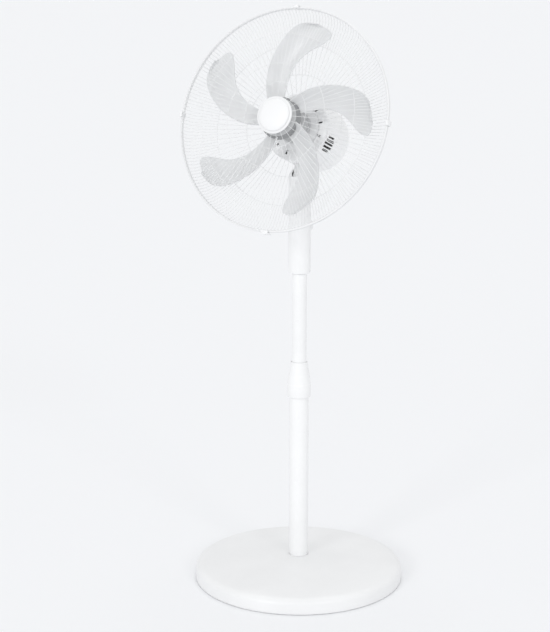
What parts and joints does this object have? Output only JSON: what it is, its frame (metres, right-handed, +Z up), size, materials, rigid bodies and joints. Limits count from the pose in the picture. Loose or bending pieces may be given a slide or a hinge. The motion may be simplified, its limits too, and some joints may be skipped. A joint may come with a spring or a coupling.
{
  "type": "pedestal fan",
  "caption": "Free-standing fan with a round weighted base, telescopic pole, wire guard, sickle blades and a head that tilts and swings",
  "frame": {"origin": "on the floor, under the pole's axis, at the centre of the round base", "axes": "+Z up along the pole, the fan blows towards -Y, +X is to the right of a person who faces the guard"},
  "size_m": [0.4164, 0.4, 1.0902],
  "materials": {
    "white_plastic": "satin, white, lightly polished",
    "white_paint": "white powder coat, satin",
    "wire_coat": "white coated wire",
    "clear_grey": "pale grey, slightly translucent, smooth",
    "hub_grey": "mid grey, moulded",
    "plate_steel": "plain rolled steel",
    "dark_steel": "dark lacquered steel",
    "copper": "enamelled copper wire, taped",
    "rubber": "dark, matt",
    "bush_brass": "sintered, oiled",
    "nylon": "off-white, matt",
    "dark_plastic": "black, matt"
  },
  "bodies": {
    "stand": {"base_cover": "white_plastic", "base_weight_plate": "plate_steel", "pole_flange": "plate_steel", "flange_screw_1": "plate_steel", "flange_screw_2": "plate_steel", "flange_screw_3": "plate_steel", "base_foot_1": "rubber", "base_foot_2": "rubber", "base_foot_3": "rubber", "base_foot_4": "rubber", "cord_gland": "dark_plastic", "outer_tube": "white_paint", "tube_top_bush": "nylon", "clamp_collet": "nylon"},
    "collar": {"height_collar": "white_plastic"},
    "column": {"inner_tube": "white_paint", "tube_guide_bush": "nylon", "neck_front_shell": "white_plastic", "neck_rear_shell": "white_plastic", "neck_sleeve": "nylon", "neck_screw": "plate_steel", "speed_switch": "dark_plastic", "swing_switch": "dark_plastic", "tilt_bolt": "plate_steel"},
    "dial": {"speed_dial": "white_plastic"},
    "button": {"swing_button": "white_plastic"},
    "tilt_lock": {"tilt_knob": "white_plastic"},
    "yoke": {"tilt_bracket": "white_paint", "swing_wheel": "nylon"},
    "head": {"swivel_pin": "plate_steel", "motor_mount": "dark_steel", "swing_motor": "plate_steel", "motor_front_cover": "white_plastic", "front_bush": "bush_brass", "motor_cowl": "white_plastic", "stator_core": "dark_steel", "winding_front": "copper", "winding_rear": "copper", "rear_bush": "bush_brass", "motor_rear_bracket": "dark_steel", "rear_guard": "wire_coat", "rear_guard_nut": "hub_grey", "front_guard": "wire_coat", "guard_badge": "white_plastic", "rim_clip_left": "white_plastic", "rim_clip_top": "white_plastic", "rim_clip_right": "white_plastic"},
    "swing_drive": {"swing_pinion": "nylon"},
    "impeller": {"rotor": "plate_steel", "motor_shaft": "plate_steel", "fan_blades": "clear_grey", "blade_nut": "hub_grey"},
    "latch": {"guard_latch": "white_plastic"}
  },
  "joints": [
    {"name": "height_slide", "type": "slide", "parent": "stand", "child": "column", "axis": [0, 0, 1], "range_m": [-0.16, 0.1]},
    {"name": "collar_twist", "type": "hinge", "parent": "stand", "child": "collar", "pos_m": [0, 0, 0.395], "axis": [0, 0, 1], "range_deg": [0, 120]},
    {"name": "dial_turn", "type": "hinge", "parent": "column", "child": "dial", "pos_m": [0, 0.03, 0.685], "axis": [0, 1, 0], "range_deg": [0, 135]},
    {"name": "swing_press", "type": "slide", "parent": "column", "child": "button", "axis": [0, -1, 0], "range_m": [0, 0.0025], "stiffness_N_per_m": 400, "springref_m": -0.002},
    {"name": "tilt_lock_turn", "type": "hinge", "parent": "column", "child": "tilt_lock", "pos_m": [0.028, 0, 0.776], "axis": [1, 0, 0], "range_deg": [0, 180]},
    {"name": "head_tilt", "type": "hinge", "parent": "column", "child": "yoke", "pos_m": [0, 0, 0.776], "axis": [1, 0, 0], "range_deg": [-7, 30]},
    {"name": "head_swing", "type": "hinge", "parent": "yoke", "child": "head", "pos_m": [0, 0, 0.776], "axis": [0, 0.309, 0.9511], "range_deg": [-40, 40]},
    {"name": "pinion_turn", "type": "hinge", "parent": "head", "child": "swing_drive", "pos_m": [0, 0.03492, 0.79935], "axis": [0, 0.309, 0.9511], "range_deg": [-90, 90]},
    {"name": "blade_spin", "type": "hinge", "parent": "head", "child": "impeller", "pos_m": [0, -0.07059, 0.88884], "axis": [0, 0.9511, -0.309], "continuous": true},
    {"name": "latch_open", "type": "hinge", "parent": "head", "child": "latch", "pos_m": [0, -0.1321, 0.6898], "axis": [1, 0, 0], "range_deg": [0, 95]}
  ],
  "couplings": [
    {"joint": "pinion_turn", "follows": "head_swing", "ratio": 2.25}
  ]
}
